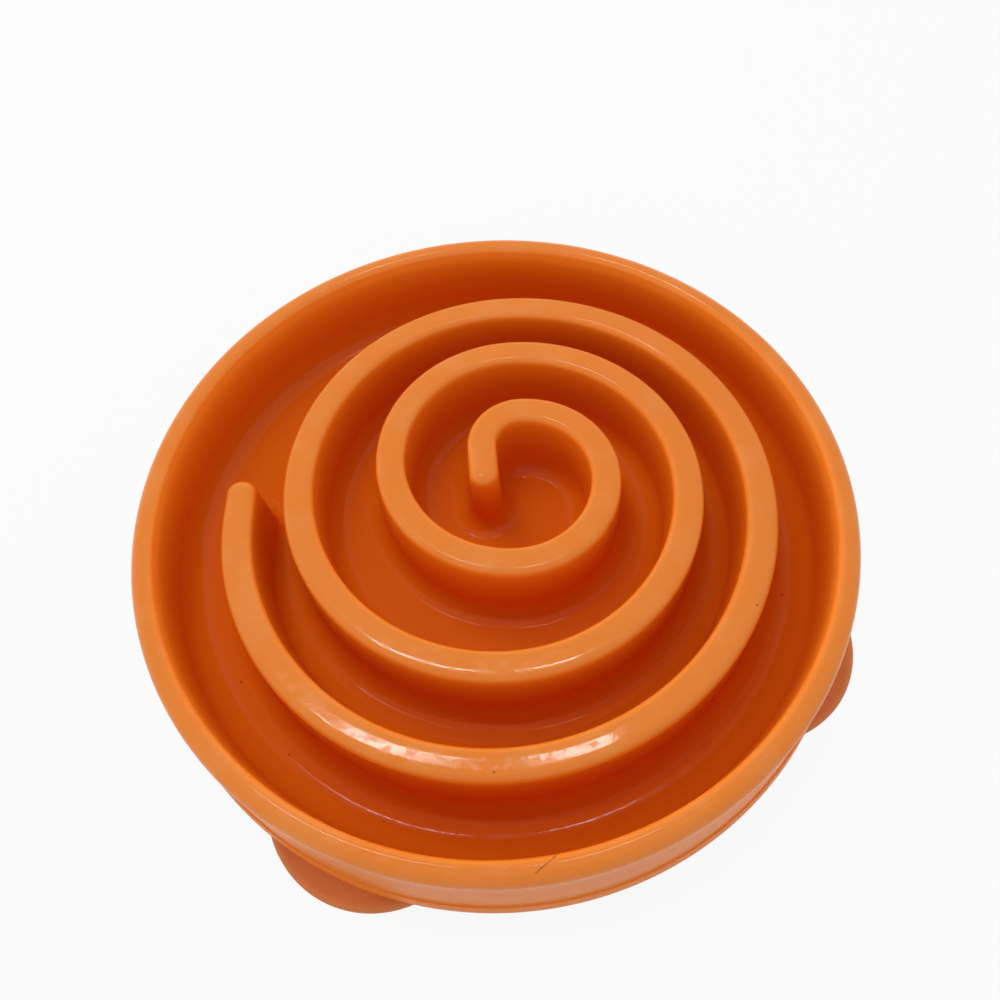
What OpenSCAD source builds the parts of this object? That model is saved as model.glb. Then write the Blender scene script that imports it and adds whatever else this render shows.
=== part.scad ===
// Slow feeder bowl: a low round bowl whose well holds one tall spiral ridge, so that a pet has to lick
// and nose its food out of a winding channel. The bowl is a single hollow moulding on four rubber feet.
// Millimetres. The origin is on the bowl's axis, on the surface that it stands on.

/* [Bowl] */
// Diameter over the rim
rim_d = 298; // [280:1:320]
// Width of the rim, from the well to the skirt
rim_w = 9; // [9:0.5:12]
// Height from the table to the rim's top
bowl_h = 51; // [48:0.5:60]
// Depth of the well, from the rim's top to the floor
well_depth = 39.5; // [34:0.5:41]
// Thickness of the moulding's walls
wall_t = 2.6; // [2:0.1:2.9]
// Thickness of the well's floor
floor_t = 3; // [2:0.1:3.5]
// Rounding of the rim's outer edge
rim_outer_r = 4.5; // [3.5:0.1:5]
// Rounding of the rim's inner edge
rim_inner_r = 3; // [2:0.1:3.5]
// Fillet between the well's wall and floor
well_fillet_r = 6; // [3:0.5:8]
// Draft of the well's wall and of the ridge, in degrees
draft = 3; // [1:0.5:4]
// Lean of the skirt, outwards towards its lower edge, in degrees
skirt_lean = 4; // [1:0.5:6]

/* [Skirt bead] */
// Height of the bead along the skirt's lower edge
bead_h = 6.8; // [5:0.1:10]
// How far the bead stands out at its lower edge
bead_w = 1.9; // [1.8:0.1:3]
// Lean of the bead's face, in degrees
bead_lean = 12; // [6:1:14]
// Rounding of the bead's upper edge
bead_top_r = 0.5; // [0.2:0.1:0.6]
// Rounding of the bead's lower edge
bead_low_r = 1; // [0.5:0.1:1.5]

/* [Ridge] */
// Drop from the rim's top to the ridge's top
ridge_drop = 4; // [1:0.5:10]
// Width of the ridge where its top rounding begins
ridge_w = 12.7; // [12.5:0.1:15]
// Rounding along the ridge's top edges
ridge_top_r = 3; // [1.5:0.25:4]
// Fillet where the ridge stands on the floor
ridge_foot_r = 4; // [2:0.25:5]
// Corner rounding of the ridge's outer end
ridge_end_r = 5; // [4.5:0.25:6]
// Straight stretch at the ridge's outer end
ridge_tail = 20.6; // [10:0.1:36]
// Rounding inside the hollow rim and the hollow ridge
hollow_r = 1.5; // [0.8:0.1:1.5]

/* [Feet] */
// How far the feet lift the skirt off the table
foot_h = 4.5; // [3.5:0.1:6]
// Radius of a foot's outline
foot_r = 45; // [38:0.5:50]
// How far a foot reaches out past the bead
foot_reach = 9.2; // [6:0.1:12]
// How far a foot reaches in from the bead
foot_inset = 14; // [12:0.5:16]
// Rounding of a foot's upper edge
foot_edge_r = 3; // [1:0.1:3.2]
// Direction of the first foot, in degrees from the right
foot_angle = 62.7; // [0:0.1:90]
// Height of the tongue that holds a foot behind the skirt
tongue_h = 6; // [4:0.5:10]
// Thickness of the tongue
tongue_t = 2.4; // [1.5:0.1:3]
// Half the angle that the tongue spans round the skirt, in degrees
tongue_half_angle = 9; // [5:0.5:10]
// Clearance between the tongue and the skirt
tongue_clearance = 0.1; // [0.05:0.05:0.3]

/* [Hidden] */

// The ridge's centre line: where its nose stands, its straight start, and then the radii of the quarter
// turns that it winds outwards in, all as shares of the well's radius
nose_shares = [-0.018, 0.098];
start_share = 0.095;
turn_shares = [0.125, 0.247, 0.284, 0.375, 0.393, 0.506, 0.570, 0.611, 0.663, 0.727, 0.804, 0.763];

// Facets of a full circle
$fn = 96;
// Largest distance between a rounded edge and its facets, as a share of the floor's thickness
edge_error_share = 0.027;
// How far the ridge's foot fillet dips into the floor, so that the two surfaces cross, as such a share
fillet_dip_share = 0.01;
// Rounding of the ridge's path and section, so that each stretch ends exactly where the next one starts
exact_step = 0.001;
// How far one solid runs into or past another
overrun = 1;

well_r = rim_d / 2 - rim_w;
floor_z = bowl_h - well_depth;
ridge_top_z = bowl_h - ridge_drop;
bead_top_z = foot_h + bead_h;
edge_error = floor_t * edge_error_share;
fillet_dip = floor_t * fillet_dip_share;
bead_r = skirt_r(foot_h, 0) + bead_w;
foot_centre_r = bead_r + foot_reach - foot_r;

function snap(length) = round(length / exact_step) * exact_step;
function snapped(points) = [for (p = points) [snap(p.x), snap(p.y)]];

// Points of an arc about a centre, from one angle to another
function arc(centre, r, from, to) =
    let (steps = ceil(abs(to - from) / (2 * acos(1 - edge_error / r))))
    [for (i = [0:steps]) let (a = from + (to - from) * i / steps) centre + r * [cos(a), sin(a)]];

// Radius of the skirt's face at a height, at a depth inside its outer surface
function skirt_r(z, depth) =
    rim_d / 2 - rim_outer_r
    + (rim_outer_r - depth) / cos(skirt_lean)
    + (bowl_h - rim_outer_r - z) * tan(skirt_lean);

// Radius of the well's face at a height, at a depth inside its surface
function well_face_r(z, depth) =
    well_r + rim_inner_r
    - (rim_inner_r - depth) / cos(draft)
    - (bowl_h - rim_inner_r - z) * tan(draft);

// Radius of the bead's face at a height
function bead_face_r(z) = bead_r - (z - foot_h) * tan(bead_lean);

// Half the ridge's width at a height, at a depth inside its surface
function ridge_half_w(z, depth) =
    ridge_w / 2 + (ridge_top_z - ridge_top_r - z) * tan(draft) - depth / cos(draft);

// Arc between a level face and the well's face, or the face behind it, in either direction
function well_corner(level_z, depth, r, from, to) =
    arc([well_face_r(level_z + r, depth) - r / cos(draft), level_z + r], r, from, to);

// Inside of the rim, from the skirt's inner face to the back of the well's wall
hollow_top_z = bowl_h - wall_t;
hollow_rim_outline = concat(
    arc([skirt_r(hollow_top_z - hollow_r, wall_t) - hollow_r / cos(skirt_lean), hollow_top_z - hollow_r],
        hollow_r, skirt_lean, 90),
    arc([well_face_r(hollow_top_z - hollow_r, wall_t) + hollow_r / cos(draft), hollow_top_z - hollow_r],
        hollow_r, 90, 180 - draft)
);

// Outline of the bowl without its ridge: floor, well, rim, skirt, bead, and back along the hidden side
shell_outline = concat(
    [[0, floor_z]],
    well_corner(floor_z, 0, well_fillet_r, -90, -draft),
    arc([well_r + rim_inner_r, bowl_h - rim_inner_r], rim_inner_r, 180 - draft, 90),
    arc([rim_d / 2 - rim_outer_r, bowl_h - rim_outer_r], rim_outer_r, 90, skirt_lean),
    [[skirt_r(bead_top_z, 0), bead_top_z]],
    arc([bead_face_r(bead_top_z - bead_top_r) - bead_top_r / cos(bead_lean), bead_top_z - bead_top_r],
        bead_top_r, 90, bead_lean),
    arc([bead_face_r(foot_h + bead_low_r) - bead_low_r / cos(bead_lean), foot_h + bead_low_r],
        bead_low_r, bead_lean, -90),
    [[skirt_r(foot_h, wall_t), foot_h]],
    hollow_rim_outline,
    well_corner(floor_z - floor_t, wall_t, well_fillet_r + wall_t, -draft, -90),
    [[0, floor_z - floor_t]]
);

// Half sections of the ridge and of the hollow inside it, from the foot up to the crown
ridge_fillet_z = floor_z + ridge_foot_r - fillet_dip;
ridge_fillet_x = ridge_half_w(ridge_fillet_z, 0) + ridge_foot_r / cos(draft);
ridge_half = snapped(concat(
    [[ridge_fillet_x, floor_z - floor_t / 2]],
    arc([ridge_fillet_x, ridge_fillet_z], ridge_foot_r, 270, 180 + draft),
    arc([ridge_half_w(ridge_top_z - ridge_top_r, 0) - ridge_top_r / cos(draft), ridge_top_z - ridge_top_r],
        ridge_top_r, draft, 90)
));
crown_z = ridge_top_z - wall_t;
hollow_half = snapped(concat(
    [[ridge_half_w(floor_z - floor_t - overrun, wall_t), floor_z - floor_t - overrun]],
    arc([ridge_half_w(crown_z - hollow_r, wall_t) - hollow_r / cos(draft), crown_z - hollow_r],
        hollow_r, draft, 90)
));

// The ridge's centre line: headings in turn, the radius of each turn and the point where it starts
headings = [[0, 1], [1, 0], [0, -1], [-1, 0]];
turn_radii = [for (share = turn_shares) snap(share * well_r)];
nose = [for (share = nose_shares) snap(share * well_r)];
start_length = snap(start_share * well_r);
function heading(i) = headings[i % 4];
function inward(i) = headings[(i + 1) % 4];
function turn_start(i) = i == 0
    ? nose + start_length * heading(0)
    : turn_start(i - 1) + turn_radii[i - 1] * (heading(i - 1) + inward(i - 1));

// Both halves of a section, as one outline
function whole(half) = concat(half, [for (i = [len(half) - 1:-1:0]) [-half[i].x, half[i].y]]);

// A straight stretch of the ridge, from a point along +Y
module ridge_straight(half, from, length) {
    translate([from.x, from.y, 0])
        rotate([90, 0, 180])
            linear_extrude(length)
                polygon(whole(half));
}

// A quarter turn of the ridge
module ridge_turn(half, i) {
    centre = turn_start(i) + turn_radii[i] * inward(i);
    translate([centre.x, centre.y, 0])
        rotate([0, 0, 90 - 90 * i])
            rotate_extrude(angle = 90)
                translate([turn_radii[i], 0])
                    polygon(whole(half));
}

// An end of the ridge that faces +Y: two rounded corners, each centred this far out, and what is between
module ridge_end(half, corner_x) {
    corner = concat(
        [[0, half[0].y]],
        [for (p = half) [p.x - corner_x, p.y]],
        [[0, half[len(half) - 1].y]]
    );
    for (side = [0, 1])
        mirror([side, 0, 0])
            translate([corner_x, 0, 0])
                rotate_extrude(angle = 90)
                    polygon(corner);
    if (corner_x > 0)
        translate([-corner_x, 0, 0])
            rotate([90, 0, 90])
                linear_extrude(2 * corner_x)
                    polygon(corner);
}

// A half section carried along the whole spiral
module spiral(half) {
    last = len(turn_radii);
    tail_start = turn_start(last);
    tail_length = snap(ridge_tail - ridge_end_r);
    translate([nose.x, nose.y, 0])
        rotate([0, 0, 180])
            ridge_end(half, 0);
    ridge_straight(half, nose, start_length);
    for (i = [0:last - 1])
        ridge_turn(half, i);
    ridge_straight(half, tail_start, tail_length);
    translate([tail_start.x, tail_start.y + tail_length, 0])
        ridge_end(half, snap(ridge_w / 2 - ridge_end_r));
}

// The moulding: a revolved shell with the spiral ridge on its floor, open from below
module bowl() {
    color([0.86, 0.36, 0.08])
        difference() {
            union() {
                rotate_extrude()
                    polygon(shell_outline);
                spiral(ridge_half);
            }
            spiral(hollow_half);
        }
}

// A foot: a pad under the bead, cut away below the well, with a tongue up behind the skirt
module foot(turn) {
    pad = concat(
        [[0, 0], [foot_r, 0]],
        arc([foot_r - foot_edge_r, foot_h - foot_edge_r], foot_edge_r, 0, 90),
        [[0, foot_h]]
    );
    tongue_depth = wall_t + tongue_clearance;
    tongue_top_z = foot_h + tongue_h;
    tongue_low_z = foot_h - overrun;
    tongue = [
        [skirt_r(tongue_low_z, tongue_depth + tongue_t), tongue_low_z],
        [skirt_r(tongue_low_z, tongue_depth), tongue_low_z],
        [skirt_r(tongue_top_z, tongue_depth), tongue_top_z],
        [skirt_r(tongue_top_z, tongue_depth + tongue_t), tongue_top_z]
    ];
    color([0.76, 0.38, 0.18])
        rotate([0, 0, turn])
            union() {
                difference() {
                    translate([foot_centre_r, 0, 0])
                        rotate_extrude()
                            polygon(pad);
                    translate([0, 0, -overrun])
                        cylinder(h = foot_h + 2 * overrun, r = bead_r - foot_inset);
                }
                rotate([0, 0, -tongue_half_angle])
                    rotate_extrude(angle = 2 * tongue_half_angle)
                        polygon(tongue);
            }
}

module foot_rear() foot(foot_angle);
module foot_left() foot(foot_angle + 90);
module foot_front() foot(foot_angle + 180);
module foot_right() foot(foot_angle + 270);

bowl();
foot_front();
foot_right();
foot_rear();
foot_left();
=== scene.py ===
"""Slow feeder bowl: the finished moulding and its pads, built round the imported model."""

import math

import bpy
from mathutils import Matrix, Vector
from mathutils.geometry import tessellate_polygon


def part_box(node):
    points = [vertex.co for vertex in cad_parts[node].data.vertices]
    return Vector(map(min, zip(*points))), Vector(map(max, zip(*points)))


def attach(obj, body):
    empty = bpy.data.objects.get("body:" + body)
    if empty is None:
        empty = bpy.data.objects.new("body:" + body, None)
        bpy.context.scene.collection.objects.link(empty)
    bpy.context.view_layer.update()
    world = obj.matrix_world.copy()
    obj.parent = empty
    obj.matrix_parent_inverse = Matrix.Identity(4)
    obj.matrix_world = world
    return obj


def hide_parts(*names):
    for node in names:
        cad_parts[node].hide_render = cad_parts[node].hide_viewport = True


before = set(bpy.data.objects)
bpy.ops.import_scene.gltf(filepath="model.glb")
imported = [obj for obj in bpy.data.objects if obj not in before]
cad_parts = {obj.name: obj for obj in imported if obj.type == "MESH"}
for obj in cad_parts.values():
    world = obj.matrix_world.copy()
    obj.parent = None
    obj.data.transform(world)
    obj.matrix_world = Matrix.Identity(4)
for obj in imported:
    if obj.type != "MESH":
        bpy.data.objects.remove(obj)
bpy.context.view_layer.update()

MM = 0.001
QUARTER = math.pi / 2

# Sizes that the frame gives
BOWL_LOW, BOWL_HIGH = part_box("bowl")
BOWL_H = BOWL_HIGH.z
SKIRT_Z = BOWL_LOW.z
BEAD_R = (BOWL_HIGH.x - BOWL_LOW.x) / 2

# Sizes of the moulding, as in the part's source
RIM_R = 149 * MM
RIM_W = 9 * MM
WELL_DEPTH = 39.5 * MM
WALL_T = 2.6 * MM
FLOOR_T = 3 * MM
RIM_OUTER_R = 4.5 * MM
RIM_INNER_R = 3 * MM
DRAFT = math.radians(3)
SKIRT_LEAN = math.radians(4)
BEAD_H = 6.8 * MM
BEAD_LEAN = math.radians(12)
BEAD_TOP_R = 0.5 * MM
BEAD_LOW_R = 1 * MM
RIDGE_DROP = 4 * MM
RIDGE_W = 12.7 * MM
RIDGE_TOP_R = 3 * MM
HOLLOW_R = 1.5 * MM

# Fillets that are fuller than in the part's source, and the least strip of floor between two of them
WELL_FILLET_R = 11.5 * MM
RIDGE_FOOT_R = 8.5 * MM
FLOOR_STRIP = 0.8 * MM

# The ridge's domed crown, its top's rounding at its two ends, and its outer end, unlike the part's source
CROWN_R = 20.5 * MM
CROWN_TILT = math.radians(6)
END_TOP_R = 4.4 * MM
RIDGE_END_R = 6.1 * MM
RIDGE_TAIL = 21.2 * MM

# Rounding of the underside's edges, which the part's source leaves sharp
MOULD_EDGE_R = 0.4 * MM

# The ridge's centre line in shares of the well's radius, which came from a fit to the photograph
NOSE_SHARES = (-0.018, 0.098)
START_SHARE = 0.095
TURN_SHARES = (0.125, 0.247, 0.284, 0.375, 0.393, 0.506, 0.570, 0.611, 0.663, 0.727, 0.804, 0.763)

# How finely curves are cut
ROUND_STEPS = 180
TURN_STEPS = 36
START_STEPS = 12
CORNER_STEPS = 30
EDGE_STEP = math.radians(9)
LEAST_ARC_STEPS = 3

# Points that lie nearer than this meet
MEETING = 1e-6
# Cosine between the ways that two faces of the ridge look, below which they face each other
FACING = -0.5

WELL_R = RIM_R - RIM_W
FLOOR_Z = BOWL_H - WELL_DEPTH
RIDGE_TOP_Z = BOWL_H - RIDGE_DROP
BEAD_TOP_Z = SKIRT_Z + BEAD_H


def arc(x, z, radius, start, end):
    """A run of (point, normal) along an arc. Material lies to the right of the way it runs."""
    steps = max(LEAST_ARC_STEPS, math.ceil(abs(end - start) / EDGE_STEP))
    side = 1 if end < start else -1
    run = []
    for i in range(steps + 1):
        a = start + (end - start) * i / steps
        out = Vector((math.cos(a), math.sin(a)))
        run.append((Vector((x, z)) + radius * out, side * out))
    return run


def joined(*runs):
    """The runs with a straight run between each and the next, where they don't already meet."""
    out = [runs[0]]
    for run in runs[1:]:
        a, b = out[-1][-1][0], run[0][0]
        if (b - a).length > MEETING:
            along = (b - a).normalized()
            normal = Vector((-along.y, along.x))
            out.append([(a, normal), (b, normal)])
        out.append(run)
    return out


def skirt_r(z, depth=0.0):
    """Radius of the skirt's face at a height, at a depth inside its outer surface."""
    return (RIM_R - RIM_OUTER_R + (RIM_OUTER_R - depth) / math.cos(SKIRT_LEAN)
            + (BOWL_H - RIM_OUTER_R - z) * math.tan(SKIRT_LEAN))


def well_face_r(z, depth=0.0):
    """Radius of the well's face at a height, at a depth inside its surface."""
    return (WELL_R + RIM_INNER_R - (RIM_INNER_R - depth) / math.cos(DRAFT)
            - (BOWL_H - RIM_INNER_R - z) * math.tan(DRAFT))


def bead_face_r(z):
    """Radius of the bead's face at a height."""
    return (BEAD_R + BEAD_LOW_R * (1 / math.cos(BEAD_LEAN) - 1)
            - (z - SKIRT_Z - BEAD_LOW_R) * math.tan(BEAD_LEAN))


def ridge_half_w(z, depth=0.0):
    """Half the ridge's width at a height, at a depth inside its surface."""
    return RIDGE_W / 2 + (RIDGE_TOP_Z - RIDGE_TOP_R - z) * math.tan(DRAFT) - depth / math.cos(DRAFT)


def shell_runs():
    """The moulding's outline round its axis: well, rim, skirt, bead, and back along the hidden side."""
    under_z = FLOOR_Z - FLOOR_T
    hollow_z = BOWL_H - WALL_T - HOLLOW_R
    low_z = SKIRT_Z + BEAD_LOW_R
    under_r = WELL_FILLET_R + WALL_T
    edge_x = skirt_r(SKIRT_Z, WALL_T) + MOULD_EDGE_R
    return joined(
        arc(well_face_r(FLOOR_Z + WELL_FILLET_R) - WELL_FILLET_R / math.cos(DRAFT),
            FLOOR_Z + WELL_FILLET_R, WELL_FILLET_R, -QUARTER, -DRAFT),
        arc(WELL_R + RIM_INNER_R, BOWL_H - RIM_INNER_R, RIM_INNER_R, math.pi - DRAFT, QUARTER),
        arc(RIM_R - RIM_OUTER_R, BOWL_H - RIM_OUTER_R, RIM_OUTER_R, QUARTER, SKIRT_LEAN),
        arc(skirt_r(BEAD_TOP_Z) + BEAD_TOP_R, BEAD_TOP_Z + BEAD_TOP_R, BEAD_TOP_R,
            math.pi + SKIRT_LEAN, 3 * QUARTER),
        arc(bead_face_r(BEAD_TOP_Z - BEAD_TOP_R) - BEAD_TOP_R / math.cos(BEAD_LEAN),
            BEAD_TOP_Z - BEAD_TOP_R, BEAD_TOP_R, QUARTER, BEAD_LEAN),
        arc(bead_face_r(low_z) - BEAD_LOW_R / math.cos(BEAD_LEAN), low_z, BEAD_LOW_R, BEAD_LEAN, -QUARTER),
        arc(edge_x, SKIRT_Z + MOULD_EDGE_R, MOULD_EDGE_R, -QUARTER, -math.pi + SKIRT_LEAN),
        arc(skirt_r(hollow_z, WALL_T) - HOLLOW_R / math.cos(SKIRT_LEAN), hollow_z, HOLLOW_R,
            SKIRT_LEAN, QUARTER),
        arc(well_face_r(hollow_z, WALL_T) + HOLLOW_R / math.cos(DRAFT), hollow_z, HOLLOW_R,
            QUARTER, math.pi - DRAFT),
        arc(well_face_r(under_z + under_r, WALL_T) - under_r / math.cos(DRAFT),
            under_z + under_r, under_r, -DRAFT, -QUARTER),
    )


def ridge_runs(top_r, foot_r):
    """Half the ridge's section, from its crown down to the floor, with its two roundings."""
    crown_z = RIDGE_TOP_Z - top_r
    foot_z = FLOOR_Z + foot_r
    round_x = ridge_half_w(crown_z) - top_r / math.cos(DRAFT)
    dome_end = QUARTER - CROWN_TILT
    return joined(
        arc(round_x - (CROWN_R - top_r) * math.cos(dome_end),
            crown_z - (CROWN_R - top_r) * math.sin(dome_end), CROWN_R, QUARTER, dome_end),
        arc(round_x, crown_z, top_r, dome_end, DRAFT),
        arc(ridge_half_w(foot_z) + foot_r / math.cos(DRAFT), foot_z, foot_r,
            math.pi + DRAFT, 3 * QUARTER),
    )


def station_runs(stations):
    """The ridge's section at each station: rounder on top towards its ends, and with as full a fillet at
    its foot as leaves a strip of floor in front of it."""
    well_floor_r = well_face_r(FLOOR_Z + WELL_FILLET_R) - WELL_FILLET_R / math.cos(DRAFT)
    half_w = ridge_half_w(FLOOR_Z)
    feet = [p + u * (half_w - inset) for p, u, inset, _ in stations]
    sections = []
    for (_, u, _, end), foot in zip(stations, feet):
        ahead_of = [(other - foot).length for (_, v, _, _), other in zip(stations, feet)
                    if u.dot(v) < FACING and u.dot(other - foot) > 0]
        along = foot.dot(u)
        to_well = math.sqrt(along ** 2 + well_floor_r ** 2 - foot.dot(foot)) - along
        room = min([to_well - FLOOR_STRIP] + [(d - FLOOR_STRIP) / 2 for d in ahead_of])
        foot_r = min(RIDGE_FOOT_R, room / (1 / math.cos(DRAFT) - math.tan(DRAFT)))
        sections.append(ridge_runs(RIDGE_TOP_R + (END_TOP_R - RIDGE_TOP_R) * end, foot_r))
    return sections


def hollow_runs():
    """Half the section of the hollow inside the ridge, from the floor's underside up to its crown."""
    under_z = FLOOR_Z - FLOOR_T
    top_z = RIDGE_TOP_Z - WALL_T - HOLLOW_R
    edge_z = under_z + MOULD_EDGE_R
    return joined(
        arc(ridge_half_w(edge_z, WALL_T) + MOULD_EDGE_R / math.cos(DRAFT), edge_z, MOULD_EDGE_R,
            -QUARTER, -math.pi + DRAFT),
        arc(ridge_half_w(top_z, WALL_T) - HOLLOW_R / math.cos(DRAFT), top_z, HOLLOW_R,
            DRAFT, QUARTER),
    )


def ahead(turn):
    """The ridge's heading where a quarter turn starts."""
    a = QUARTER * (1 - turn)
    return Vector((round(math.cos(a)), round(math.sin(a))))


def spiral_stations():
    """Points round the ridge's outline: each a point, the direction outwards, the section's inset, and how
    far the section is that of an end."""
    nose = WELL_R * Vector(NOSE_SHARES)
    point = nose + WELL_R * START_SHARE * ahead(0)
    left, right = [], []
    for i in range(START_STEPS):
        on_path = nose.lerp(point, i / START_STEPS)
        end = (1 + math.cos(math.pi * i / START_STEPS)) / 2
        left.append((on_path, math.pi, 0.0, end))
        right.append((on_path, 0.0, 0.0, end))
    last_turn = len(TURN_SHARES) - 1
    for turn, share in enumerate(TURN_SHARES):
        radius = WELL_R * share
        centre = point + radius * ahead(turn + 1)
        # The next turn starts where this one ends, but after the last one its end is still to be added
        for i in range(TURN_STEPS + 1 if turn == last_turn else TURN_STEPS):
            a = math.pi - QUARTER * (turn + i / TURN_STEPS)
            on_path = centre + radius * Vector((math.cos(a), math.sin(a)))
            left.append((on_path, a, 0.0, 0.0))
            right.append((on_path, a - math.pi, 0.0, 0.0))
        point = point + radius * (ahead(turn) + ahead(turn + 1))
    for i in range(START_STEPS):
        on_path = point + (RIDGE_TAIL - RIDGE_END_R) * (i + 1) / START_STEPS * ahead(0)
        end = (1 - math.cos(math.pi * (i + 1) / START_STEPS)) / 2
        left.append((on_path, math.pi, 0.0, end))
        right.append((on_path, 0.0, 0.0, end))
    point = on_path
    inset = RIDGE_W / 2 - RIDGE_END_R
    turned = []
    for side, first in ((-1, math.pi), (1, QUARTER)):
        corner = point + Vector((side * inset, 0))
        for i in range(CORNER_STEPS + 1):
            turned.append((corner, first - QUARTER * i / CORNER_STEPS, inset, 1.0))
    tip = []
    for i in range(1, 2 * CORNER_STEPS):
        tip.append((nose, -math.pi * i / (2 * CORNER_STEPS), 0.0, 1.0))
    loop = left[:-1] + turned + right[:-1][::-1] + tip
    return [(p, Vector((math.cos(a), math.sin(a))), inset, end) for p, a, inset, end in loop]


class Skin:
    """A mesh whose every face corner has its own exact normal."""

    def __init__(self):
        self.points = []
        self.faces = []
        self.normals = []

    def ring(self, points):
        """Adds a closed ring of points and gives their numbers."""
        first = len(self.points)
        self.points.extend(points)
        return list(range(first, first + len(points)))

    def face(self, corners, normals):
        """Adds one face, turned so that it faces the way its normals do."""
        a, b, c = (self.points[i] for i in corners[:3])
        facing = (b - a).cross(c - a)
        if len(corners) == 4:
            facing += (c - a).cross(self.points[corners[3]] - a)
        if facing.dot(sum(normals, Vector((0, 0, 0)))) < 0:
            corners, normals = corners[::-1], normals[::-1]
        self.faces.append(corners)
        self.normals.extend(normals)

    def loft(self, sections, place):
        """Sweeps runs round a loop of places, one section each. Gives the first and the last ring."""
        first = last = None
        count = len(sections)
        for r, run in enumerate(sections[0]):
            placed = [[place(i, *sections[i][r][k]) for i in range(count)] for k in range(len(run))]
            rings = [last if k == 0 and last is not None else self.ring([spot for spot, _ in ring])
                     for k, ring in enumerate(placed)]
            normals = [[normal for _, normal in ring] for ring in placed]
            for k in range(len(rings) - 1):
                for i in range(count):
                    j = (i + 1) % count
                    self.face([rings[k][i], rings[k][j], rings[k + 1][j], rings[k + 1][i]],
                              [normals[k][i], normals[k][j], normals[k + 1][j], normals[k + 1][i]])
            if first is None:
                first = rings[0]
            last = rings[-1]
        return first, last

    def cap(self, rings, up):
        """Fills a level area between rings: the first is its edge, the others are holes."""
        flat = [i for ring in rings for i in ring]
        normal = Vector((0, 0, up))
        for a, b, c in tessellate_polygon([[self.points[i] for i in ring] for ring in rings]):
            corners = [flat[a], flat[b], flat[c]]
            p, q, r = (self.points[i] for i in corners)
            if (q - p).cross(r - p).length > 0:
                self.face(corners, [normal] * 3)

    def object(self, name):
        """The finished mesh as an object."""
        mesh = bpy.data.meshes.new(name)
        mesh.from_pydata(self.points, [], self.faces)
        mesh.shade_smooth()
        mesh.normals_split_custom_set(self.normals)
        piece = bpy.data.objects.new(name, mesh)
        bpy.context.scene.collection.objects.link(piece)
        return piece


def moulding():
    """The bowl: a revolved shell with the hollow spiral ridge in its floor."""
    skin = Skin()
    round_dirs = [Vector((math.cos(a), math.sin(a), 0))
                  for a in (2 * math.pi * i / ROUND_STEPS for i in range(ROUND_STEPS))]
    stations = spiral_stations()

    def on_round(i, point, normal):
        u = round_dirs[i]
        return u * point.x + Vector((0, 0, point.y)), u * normal.x + Vector((0, 0, normal.y))

    def on_spiral(i, point, normal):
        p, u, inset, _ = stations[i]
        at = p + u * (point.x - inset)
        return Vector((at.x, at.y, point.y)), Vector((u.x * normal.x, u.y * normal.x, normal.y))

    floor_edge, under_edge = skin.loft([shell_runs()] * ROUND_STEPS, on_round)
    crown, foot = skin.loft(station_runs(stations), on_spiral)
    hollow_foot, hollow_crown = skin.loft([hollow_runs()] * len(stations), on_spiral)
    skin.cap([floor_edge, foot], 1)
    skin.cap([crown], 1)
    skin.cap([under_edge, hollow_foot], -1)
    skin.cap([hollow_crown], -1)
    return skin.object("bowl_moulding")


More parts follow.
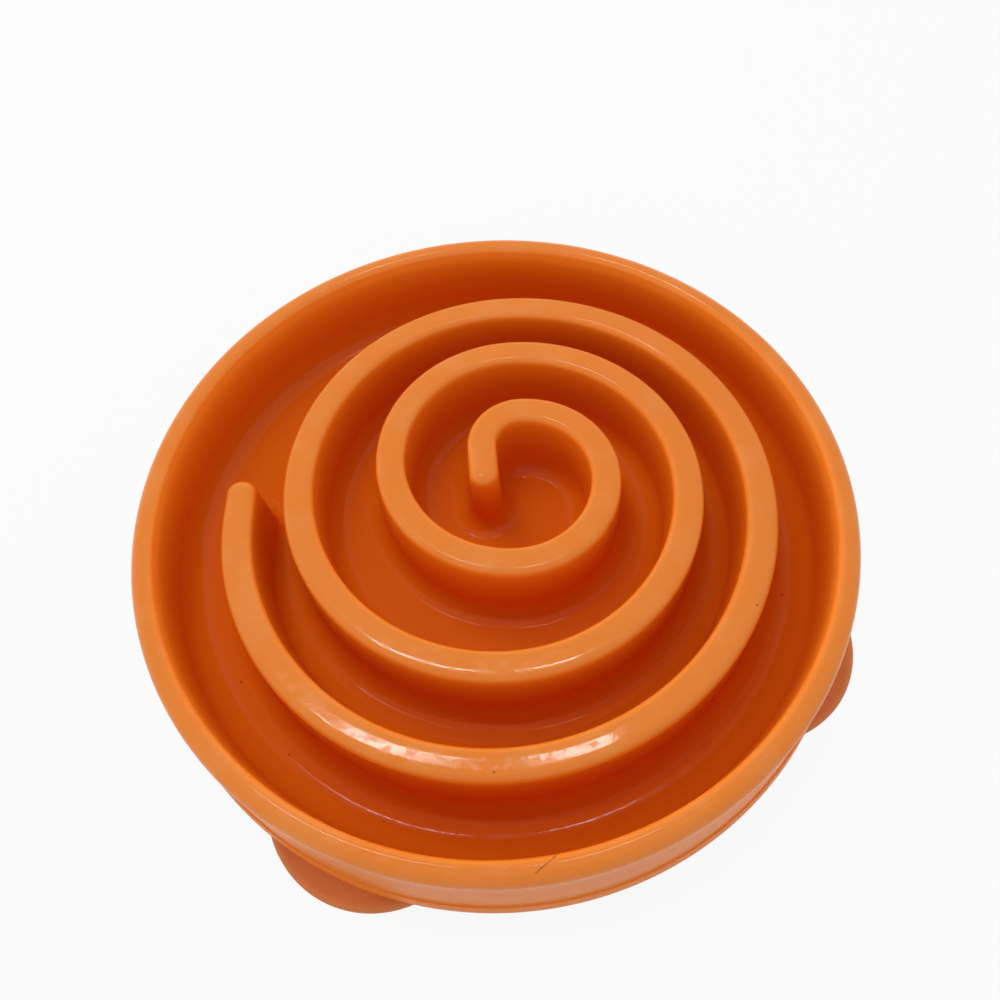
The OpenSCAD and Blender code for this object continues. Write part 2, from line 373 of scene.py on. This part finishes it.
class Nodes:
    """A material's or a world's node tree, with short calls for its nodes."""

    def __init__(self, tree):
        self.tree = tree

    def put(self, value, socket):
        """Links an output to a socket, or writes a plain value into it."""
        if isinstance(value, bpy.types.NodeSocket):
            self.tree.links.new(value, socket)
        else:
            socket.default_value = value

    def node(self, kind, inputs=None, **settings):
        """A new node of a kind, with its settings and its inputs."""
        new = self.tree.nodes.new(kind)
        for key, value in settings.items():
            setattr(new, key, value)
        for key, value in (inputs or {}).items():
            self.put(value, new.inputs[key])
        return new

    def math(self, operation, *values):
        """The result of a sum on numbers, taken two at a time from the first on."""
        total = values[0]
        for value in values[1:]:
            total = self.node("ShaderNodeMath", {0: total, 1: value}, operation=operation).outputs[0]
        return total

    def times(self, *values):
        """The product of numbers."""
        return self.math("MULTIPLY", *values)

    def plus(self, *values):
        """The sum of numbers."""
        return self.math("ADD", *values)

    def most(self, *values):
        """The largest of numbers."""
        return self.math("MAXIMUM", *values)

    def rest(self, share):
        """What a share leaves of 1."""
        return self.math("SUBTRACT", 1.0, share)

    def vector(self, operation, *values):
        """The vector that a sum on vectors gives."""
        return self.node("ShaderNodeVectorMath", dict(enumerate(values)), operation=operation).outputs[0]

    def length(self, vector):
        """How long a vector is."""
        return self.node("ShaderNodeVectorMath", {0: vector}, operation="LENGTH").outputs["Value"]

    def noise(self, at, scale, detail=2.0, roughness=0.5):
        """Noise between 0 and 1, with its scale per metre."""
        inputs = {"Vector": at, "Scale": scale, "Detail": detail, "Roughness": roughness}
        return self.node("ShaderNodeTexNoise", inputs).outputs["Fac"]

    def ramp(self, value, low, high):
        """0 below one value, 1 above another, and smooth between them."""
        inputs = {"Value": value, "From Min": low, "From Max": high, "To Min": 0.0, "To Max": 1.0}
        return self.node("ShaderNodeMapRange", inputs, interpolation_type="SMOOTHSTEP").outputs["Result"]

    def fall(self, value, low, high):
        """1 below one value, 0 above another, and smooth between them."""
        return self.rest(self.ramp(value, low, high))

    def patches(self, at, cut, **noise):
        """1 where a noise is high, 0 where it is low, and smooth between the two levels of its cut."""
        return self.ramp(self.noise(at, **noise), *cut)

    def bump(self, height, strength, distance, **normal):
        """A surface's direction where a height, times a distance, roughens it."""
        inputs = {"Height": height, "Strength": strength, "Distance": distance, **normal}
        return self.node("ShaderNodeBump", inputs).outputs["Normal"]

    def mix(self, share, first, second):
        """Two colours mixed, by the second one's share."""
        new = self.node("ShaderNodeMix", data_type="RGBA")
        sockets = [x for x in new.inputs if x.enabled]
        for value, socket in zip((share, first, second), sockets):
            self.put(value, socket)
        return next(x for x in new.outputs if x.enabled)


def new_material(name):
    """An empty node material: its tree, its Principled shader and the model's own coordinates."""
    material = bpy.data.materials.new(name)
    material.use_nodes = True
    nodes = Nodes(material.node_tree)
    shader = material.node_tree.nodes["Principled BSDF"]
    at = nodes.node("ShaderNodeTexCoord").outputs["Object"]
    return material, nodes, shader, at


# How far each axis counts for a level distance, and the middle of a noise's values
LEVEL_ONLY = (1.0, 1.0, 0.0)
NOISE_MIDDLE = 0.5

# Marks of use on the plastic: specks of dirt, and a scratch on the rim by its two ends, in millimetres
SPECKS = ((98.7, -57.0, 47), (-110.7, -59.5, 11.5), (-88.6, -91.2, 11.5), (-50.4, -119.3, 11.5),
          (121.7, -39.7, 11.5), (-6.0, -111.2, 47))
SPECK_R = 0.45 * MM
SPECK_EDGE = (0.6 * SPECK_R, 1.1 * SPECK_R)
SPECK_WANDER = 1500.0
SCRATCH = ((5.0, -145.4, 0), (13.8, -139.4, 0))
SCRATCH_HALF_W = 0.3 * MM
SCRATCH_EDGE = (0.3 * SCRATCH_HALF_W, SCRATCH_HALF_W)
SCRATCH_BEND = 0.5 * MM
SCRATCH_BENDS = 400.0
SCRATCH_START_FADE = 1.5 * MM
SCRATCH_END_FADE = 2 * MM
SCRATCH_DIRT = 0.8

# Hairlines: the angle in degrees and the scale of each set, and the stretch, detail and cut of them all
HAIRLINES = ((20, 900.0), (75, 1100.0), (-40, 1000.0))
HAIRLINE_STRETCH = (0.03, 1.0, 0.1)
HAIRLINE_DETAIL = 1.0
HAIRLINE_CUT = (0.70, 0.74)


def specks(nodes, at):
    """1 on the specks of dirt, and 0 elsewhere."""
    cloud = nodes.node("ShaderNodeTexNoise", {"Vector": at, "Scale": SPECK_WANDER}).outputs["Color"]
    wander = nodes.vector("SCALE", nodes.vector("SUBTRACT", cloud, (NOISE_MIDDLE,) * 3))
    wander.node.inputs["Scale"].default_value = SPECK_R
    rough_at = nodes.vector("ADD", at, wander)
    marks = []
    for place in SPECKS:
        centre = tuple(v * MM for v in place)
        apart = nodes.length(nodes.vector("SUBTRACT", rough_at, centre))
        marks.append(nodes.fall(apart, *SPECK_EDGE))
    return nodes.most(*marks)


def scratch(nodes, at):
    """1 along the scratch on the rim, fading at its ends, and 0 elsewhere."""
    start, end = (Vector(p) * MM for p in SCRATCH)
    length = (end - start).length
    along = (end - start).normalized()
    from_start = nodes.vector("MULTIPLY", nodes.vector("SUBTRACT", at, tuple(start)), LEVEL_ONLY)
    run = nodes.node("ShaderNodeVectorMath", {0: from_start, 1: tuple(along)},
                     operation="DOT_PRODUCT").outputs["Value"]
    on_line = nodes.vector("SCALE", tuple(along))
    nodes.put(run, on_line.node.inputs["Scale"])
    bend = nodes.math("SUBTRACT", nodes.noise(at, SCRATCH_BENDS), NOISE_MIDDLE)
    apart = nodes.length(nodes.vector("SUBTRACT", from_start, on_line))
    aside = nodes.plus(apart, nodes.times(bend, SCRATCH_BEND))
    begun = nodes.ramp(run, 0.0, SCRATCH_START_FADE)
    unended = nodes.fall(run, length - SCRATCH_END_FADE, length)
    return nodes.times(nodes.fall(aside, *SCRATCH_EDGE), nodes.times(begun, unended))


def hairlines(nodes, at, angle, scale):
    """Thin straight scuffs at an angle: 1 on a line, and 0 elsewhere."""
    turned = nodes.node("ShaderNodeMapping", {"Vector": at, "Rotation": (0.0, 0.0, math.radians(angle)),
                                              "Scale": HAIRLINE_STRETCH}).outputs["Vector"]
    return nodes.patches(turned, HAIRLINE_CUT, scale=scale, detail=HAIRLINE_DETAIL)


# Zones of the plastic: the two heights, or distances from the axis, between which each starts or ends
TOPS_Z = (RIDGE_TOP_Z - 1.5 * MM, RIDGE_TOP_Z - 0.3 * MM)
SKIRT_REACH = (RIM_R - 1 * MM, RIM_R + 0.5 * MM)
BELOW_RIM_Z = (BOWL_H - 4 * MM, BOWL_H - 0.5 * MM)
ON_FLOOR_Z = (FLOOR_Z + 0.003 * MM, FLOOR_Z + 0.010 * MM)
WELL_REACH = (WELL_R - 1 * MM, WELL_R + 1 * MM)
BELOW_TOPS_Z = (RIDGE_TOP_Z - 6 * MM, RIDGE_TOP_Z)
LIP_Z = (SKIRT_Z + 0.6 * MM, SKIRT_Z + 1.8 * MM)
LOW_DOWN_Z = (FLOOR_Z, FLOOR_Z + 0.5 * MM)

# The near stretch of the well's fillet, which glints: where it starts, how high it goes and how far back
FILLET_START_R = well_face_r(FLOOR_Z + WELL_FILLET_R) - WELL_FILLET_R
FILLET_REACH = (FILLET_START_R - 1 * MM, FILLET_START_R + 0.5 * MM)
FILLET_Z = (FLOOR_Z + 0.1 * MM, FLOOR_Z + 0.6 * MM)
NEAR_Y = (-112 * MM, -104 * MM)

# Colours of the plastic, and how far each of the last three covers what is under it
ORANGE = (0.945, 0.243, 0.017, 1)
PALER_ORANGE = (0.965, 0.258, 0.022, 1)
# The well's orange and its cover are painted shade: a darker, deeper copy of the orange laid over the
# well's recess
WELL_SHADE_ORANGE = (0.85, 0.170, 0.005, 1)
WORN_ORANGE = (0.95, 0.33, 0.07, 1)
DIRT = (0.10, 0.022, 0.006, 1)
WELL_SHADE_COVER = 0.9
WORN_COVER = 0.3
DIRT_COVER = 0.85

# Patterns of the plastic: the scale per metre, the detail and, for patches, the levels that cut them out
CLOUDS = dict(scale=14.0, detail=3.0, cut=(0.3, 0.7))
WEAR = dict(scale=45.0, detail=4.0, cut=(0.48, 0.66))
RUBBING = dict(scale=190.0, detail=6.0, roughness=0.75, cut=(0.50, 0.56))
POLISH = dict(scale=220.0, detail=3.0)
GLINTS = dict(scale=420.0, detail=1.0, cut=(0.42, 0.58))
WAVES = dict(scale=70.0, detail=2.0)
PITS = dict(scale=2600.0, detail=2.0)
GRAIN = dict(scale=900.0, detail=3.0)

# Roughness of the polished plastic, and what each kind of use or finish adds to it
POLISHED_ROUGH = 0.04
POLISH_VARIES = 0.04
SATIN_ROUGH = 0.42
RUBBED_ROUGH = 0.14
SCUFFED_ROUGH = 0.25
DIRTY_ROUGH = 0.4

# How much of the hairlines shows all over, and how much more where the plastic is worn
SCUFFS_ALL_OVER = 0.2
SCUFFS_FROM_WEAR = 0.8

# Specular level of the rim, what the well and what all below the floor's level lack, and what glints add
RIM_GLOSS = 0.32
WELL_GLOSS_LACK = 0.22
LOW_GLOSS_LACK = 0.05
GLINT_GLOSS = 0.14

# Relief of the plastic, with the skirt's pits and the hairlines in parts of the grain
WAVE_STRENGTH = 0.5
WAVE_DEPTH = 0.12 * MM
GRAIN_STRENGTH = 0.3
GRAIN_DEPTH = 0.03 * MM
PIT_SHARE = 0.8
SCUFF_SHARE = 1.5


def plastic_colour(nodes, at, in_well, worn, dirt):
    """Orange, darker in the well as painted shade, paler where it is worn, and dark where dirt sits."""
    colour = nodes.mix(nodes.patches(at, **CLOUDS), ORANGE, PALER_ORANGE)
    # Painted shade: the well is darkened with a deeper copy of the orange
    colour = nodes.mix(nodes.times(in_well, WELL_SHADE_COVER), colour, WELL_SHADE_ORANGE)
    colour = nodes.mix(nodes.times(worn, WORN_COVER), colour, WORN_ORANGE)
    return nodes.mix(nodes.times(dirt, DIRT_COVER), colour, DIRT)


def plastic_gloss(nodes, at, axes, reach, in_well):
    """The specular level: less in the well, and with beads of gloss on the near part of its fillet."""
    gloss = nodes.math("SUBTRACT", RIM_GLOSS, nodes.times(in_well, WELL_GLOSS_LACK))
    gloss = nodes.math("SUBTRACT", gloss, nodes.times(nodes.fall(axes["Z"], *LOW_DOWN_Z), LOW_GLOSS_LACK))
    on_fillet = nodes.times(nodes.ramp(reach, *FILLET_REACH), nodes.fall(axes["Z"], *FILLET_Z),
                            nodes.fall(axes["Y"], *NEAR_Y))
    return nodes.plus(gloss, nodes.times(on_fillet, nodes.patches(at, **GLINTS), GLINT_GLOSS))


def plastic_material():
    """Glossy orange plastic, a little wavy, with painted shade in the well, worn tops, a satin skirt and
    floor, and a few specks.
    """
    material, nodes, shader, at = new_material("orange_plastic")
    axes = nodes.node("ShaderNodeSeparateXYZ", {0: at}).outputs
    height = axes["Z"]
    reach = nodes.length(nodes.vector("MULTIPLY", at, LEVEL_ONLY))
    on_skirt = nodes.times(nodes.ramp(reach, *SKIRT_REACH), nodes.fall(height, *BELOW_RIM_Z))
    # The well below the tops, where the orange is darkened as painted shade and the gloss is lower
    in_well = nodes.times(nodes.fall(reach, *WELL_REACH), nodes.fall(height, *BELOW_TOPS_Z))
    on_edges = nodes.most(nodes.ramp(height, *TOPS_Z), nodes.fall(height, *LIP_Z))
    worn = nodes.times(on_edges, nodes.patches(at, **WEAR))
    dirt = nodes.most(specks(nodes, at), nodes.times(scratch(nodes, at), SCRATCH_DIRT))
    nodes.put(plastic_colour(nodes, at, in_well, worn, dirt), shader.inputs["Base Color"])

    lines = nodes.most(*(hairlines(nodes, at, angle, scale) for angle, scale in HAIRLINES))
    satin = nodes.most(on_skirt, nodes.fall(height, *ON_FLOOR_Z))
    scuffed = nodes.times(lines, nodes.plus(nodes.times(worn, SCUFFS_FROM_WEAR), SCUFFS_ALL_OVER))
    rubbed = nodes.times(on_edges, nodes.patches(at, **RUBBING))
    rough = nodes.plus(POLISHED_ROUGH, nodes.times(nodes.noise(at, **POLISH), POLISH_VARIES),
                       nodes.times(satin, SATIN_ROUGH), nodes.times(rubbed, RUBBED_ROUGH),
                       nodes.times(scuffed, SCUFFED_ROUGH), nodes.times(dirt, DIRTY_ROUGH))
    nodes.put(rough, shader.inputs["Roughness"])
    nodes.put(plastic_gloss(nodes, at, axes, reach, in_well), shader.inputs["Specular IOR Level"])

    waves = nodes.bump(nodes.noise(at, **WAVES), WAVE_STRENGTH, WAVE_DEPTH)
    pits = nodes.times(nodes.noise(at, **PITS), nodes.times(on_skirt, PIT_SHARE))
    grain = nodes.plus(nodes.noise(at, **GRAIN), pits)
    grain = nodes.math("SUBTRACT", grain, nodes.times(scuffed, SCUFF_SHARE))
    nodes.put(nodes.bump(grain, GRAIN_STRENGTH, GRAIN_DEPTH, Normal=waves), shader.inputs["Normal"])
    return material


# Rubber: its colours, patterns, roughness, gloss and relief
RUBBER = (0.72, 0.190, 0.038, 1)
PALER_RUBBER = (0.80, 0.220, 0.050, 1)
DUST = (0.62, 0.42, 0.30, 1)
DUST_COVER = 0.10
MOTTLES = dict(scale=60.0, detail=4.0, cut=(0.35, 0.7))
DUST_PATCHES = dict(scale=500.0, detail=3.0, roughness=0.7, cut=(0.60, 0.75))
RUBBER_GRAIN = dict(scale=1400.0, detail=3.0)
RUBBER_ROUGH = 0.50
MOTTLED_ROUGH = 0.12
RUBBER_GLOSS = 0.4
RUBBER_GRAIN_STRENGTH = 0.25
RUBBER_GRAIN_DEPTH = 0.05 * MM


def rubber_material():
    """Matt orange rubber, faintly mottled, with patches of dust."""
    material, nodes, shader, at = new_material("orange_rubber")
    mottle = nodes.patches(at, **MOTTLES)
    colour = nodes.mix(mottle, RUBBER, PALER_RUBBER)
    colour = nodes.mix(nodes.times(nodes.patches(at, **DUST_PATCHES), DUST_COVER), colour, DUST)
    nodes.put(colour, shader.inputs["Base Color"])
    nodes.put(nodes.plus(RUBBER_ROUGH, nodes.times(mottle, MOTTLED_ROUGH)), shader.inputs["Roughness"])
    shader.inputs["Specular IOR Level"].default_value = RUBBER_GLOSS
    grain = nodes.bump(nodes.noise(at, **RUBBER_GRAIN), RUBBER_GRAIN_STRENGTH, RUBBER_GRAIN_DEPTH)
    nodes.put(grain, shader.inputs["Normal"])
    return material


plastic = plastic_material()
rubber = rubber_material()

bowl = moulding()
bowl.data.materials.append(plastic)
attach(bowl, "root")
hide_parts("bowl")

for name in ("foot_front", "foot_right", "foot_rear", "foot_left"):
    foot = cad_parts[name]
    foot.data.materials.clear()
    foot.data.materials.append(rubber)


# Camera, where a fit to the ellipses of the rim and the well puts the photographer's
CAMERA_AT = Vector((3.6, -171.5, 343.8)) * MM
CAMERA_ELEVATION = math.radians(60.252)
CAMERA_ROLL = math.radians(-4.501)
CAMERA_FOCAL_PX = 820
PHOTO_PX = 1000
SENSOR = 36.0
NEAREST_SEEN = 0.01
FARTHEST_SEEN = 100


def make_camera():
    """A camera that looks down at the bowl as the photographer did."""
    data = bpy.data.cameras.new("camera")
    data.sensor_width = SENSOR
    data.lens = SENSOR * CAMERA_FOCAL_PX / PHOTO_PX
    data.clip_start = NEAREST_SEEN
    data.clip_end = FARTHEST_SEEN
    camera = bpy.data.objects.new("camera", data)
    bpy.context.scene.collection.objects.link(camera)
    ce, se = math.cos(CAMERA_ELEVATION), math.sin(CAMERA_ELEVATION)
    cr, sr = math.cos(CAMERA_ROLL), math.sin(CAMERA_ROLL)
    forward = Vector((0, ce, -se))
    level_up = Vector((0, se, ce))
    level_right = Vector((1, 0, 0))
    right = cr * level_right + sr * level_up
    up = -sr * level_right + cr * level_up
    turn = Matrix((right, up, -forward)).transposed()
    camera.matrix_world = Matrix.Translation(CAMERA_AT) @ turn.to_4x4()
    bpy.context.scene.camera = camera


# The floor: half its width, how pale it looks, how much light it gives back, and its share of plain white
FLOOR_HALF = 3.0
FLOOR_PALE = 0.9
FLOOR_BOUNCE = 0.15
FLOOR_WHITE_SHARE = 0.91

# The room's light, as parts of the light at which a colour renders as it is written
ROOM_ABOVE = 0.19
ROOM_BEHIND = 1.3
ROOM_LEFT = 0.2
ROOM_FRONT = 0.7
ROOM_FALL_POWER = 2.0

# The lamps: two strips overhead, for the highlights, and a soft one that shows in no reflection
STRIP_Z = 2.45
STRIP_WIDTH = 0.13
STRIP_RADIANCE = 22
LEFT_STRIP = (-0.44, 0.50)
LEFT_STRIP_LENGTH = 0.55
RIGHT_STRIP = (0.17, 0.46)
RIGHT_STRIP_LENGTH = 0.26
SOFT_AT = (-0.28, 0.40, 0.85)
SOFT_TOWARDS = (0, 0.05, 0.03)
SOFT_LENGTH = 0.3
SOFT_WIDTH = 0.4
SOFT_RADIANCE = 3.6


def seen_rays(nodes):
    """1 for what the camera sees, directly or in a reflection, and 0 for the light itself."""
    rays = nodes.node("ShaderNodeLightPath").outputs
    return nodes.most(rays["Is Camera Ray"], nodes.most(rays["Is Glossy Ray"], rays["Is Transmission Ray"]))


def grey(level):
    """A grey of a level."""
    return (level, level, level, 1)


def floor_material():
    """White that keeps a faint shadow of the bowl, and is clear from below."""
    material = bpy.data.materials.new("floor_white")
    material.use_nodes = True
    material.node_tree.nodes.clear()
    nodes = Nodes(material.node_tree)
    seen = seen_rays(nodes)
    pale = nodes.mix(seen, grey(FLOOR_BOUNCE), grey(FLOOR_PALE))
    lit = nodes.node("ShaderNodeBsdfDiffuse", {"Color": pale})
    white = nodes.node("ShaderNodeEmission", {"Color": grey(1), "Strength": 1.0})
    share = nodes.times(seen, FLOOR_WHITE_SHARE)
    top = nodes.node("ShaderNodeMixShader", {0: share, 1: lit.outputs[0], 2: white.outputs[0]})
    below = nodes.node("ShaderNodeNewGeometry").outputs["Backfacing"]
    clear = nodes.node("ShaderNodeBsdfTransparent")
    both = nodes.node("ShaderNodeMixShader", {0: below, 1: top.outputs[0], 2: clear.outputs[0]})
    nodes.node("ShaderNodeOutputMaterial", {"Surface": both.outputs[0]})
    return material


def make_floor():
    """The floor that the bowl stands on."""
    mesh = bpy.data.meshes.new("floor")
    corners = [(x * FLOOR_HALF, y * FLOOR_HALF, 0) for x, y in ((-1, -1), (1, -1), (1, 1), (-1, 1))]
    mesh.from_pydata(corners, [], [(0, 1, 2, 3)])
    mesh.materials.append(floor_material())
    floor = bpy.data.objects.new("floor", mesh)
    bpy.context.scene.collection.objects.link(floor)


def make_world():
    """A pale room whose light comes mostly from low down: most from behind the bowl, some from in front of
    it, and a little more from its left than from its right."""
    world = bpy.data.worlds.new("world")
    bpy.context.scene.world = world
    world.use_nodes = True
    world.node_tree.nodes.clear()
    nodes = Nodes(world.node_tree)
    towards = nodes.node("ShaderNodeTexCoord").outputs["Generated"]
    axes = nodes.node("ShaderNodeSeparateXYZ", {0: towards}).outputs
    low_down = nodes.math("POWER", nodes.rest(nodes.most(axes["Z"], 0.0)), ROOM_FALL_POWER)
    behind = nodes.times(nodes.plus(1.0, axes["Y"]), ROOM_BEHIND)
    left = nodes.times(nodes.rest(axes["X"]), ROOM_LEFT)
    front = nodes.times(nodes.rest(axes["Y"]), ROOM_FRONT)
    light = nodes.plus(nodes.times(low_down, nodes.plus(behind, left, front)), ROOM_ABOVE)
    seen = seen_rays(nodes)
    strength = nodes.plus(seen, nodes.times(light, nodes.rest(seen)))
    shine = nodes.node("ShaderNodeBackground", {"Color": grey(1), "Strength": strength})
    nodes.node("ShaderNodeOutputWorld", {"Surface": shine.outputs[0]})


def make_lamp(name, at, towards, length, width, radiance):
    """A rectangular lamp that faces a point, with its length level."""
    data = bpy.data.lights.new(name, "AREA")
    data.shape = "RECTANGLE"
    data.size = length
    data.size_y = width
    data.energy = math.pi * length * width * radiance
    lamp = bpy.data.objects.new(name, data)
    lamp.location = at
    lamp.rotation_mode = "QUATERNION"
    lamp.rotation_quaternion = (Vector(towards) - Vector(at)).to_track_quat("-Z", "Y")
    bpy.context.scene.collection.objects.link(lamp)
    return lamp


def make_lamps():
    """The two strips, each straight above the point that it faces, and the soft lamp."""
    for name, place, length in (("lamp_left", LEFT_STRIP, LEFT_STRIP_LENGTH),
                                ("lamp_right", RIGHT_STRIP, RIGHT_STRIP_LENGTH)):
        make_lamp(name, (*place, STRIP_Z), (*place, 0), length, STRIP_WIDTH, STRIP_RADIANCE)
    soft = make_lamp("lamp_soft", SOFT_AT, SOFT_TOWARDS, SOFT_LENGTH, SOFT_WIDTH, SOFT_RADIANCE)
    soft.visible_glossy = False


make_camera()
make_floor()
make_world()
make_lamps()

scene = bpy.context.scene
scene.view_settings.view_transform = "Standard"
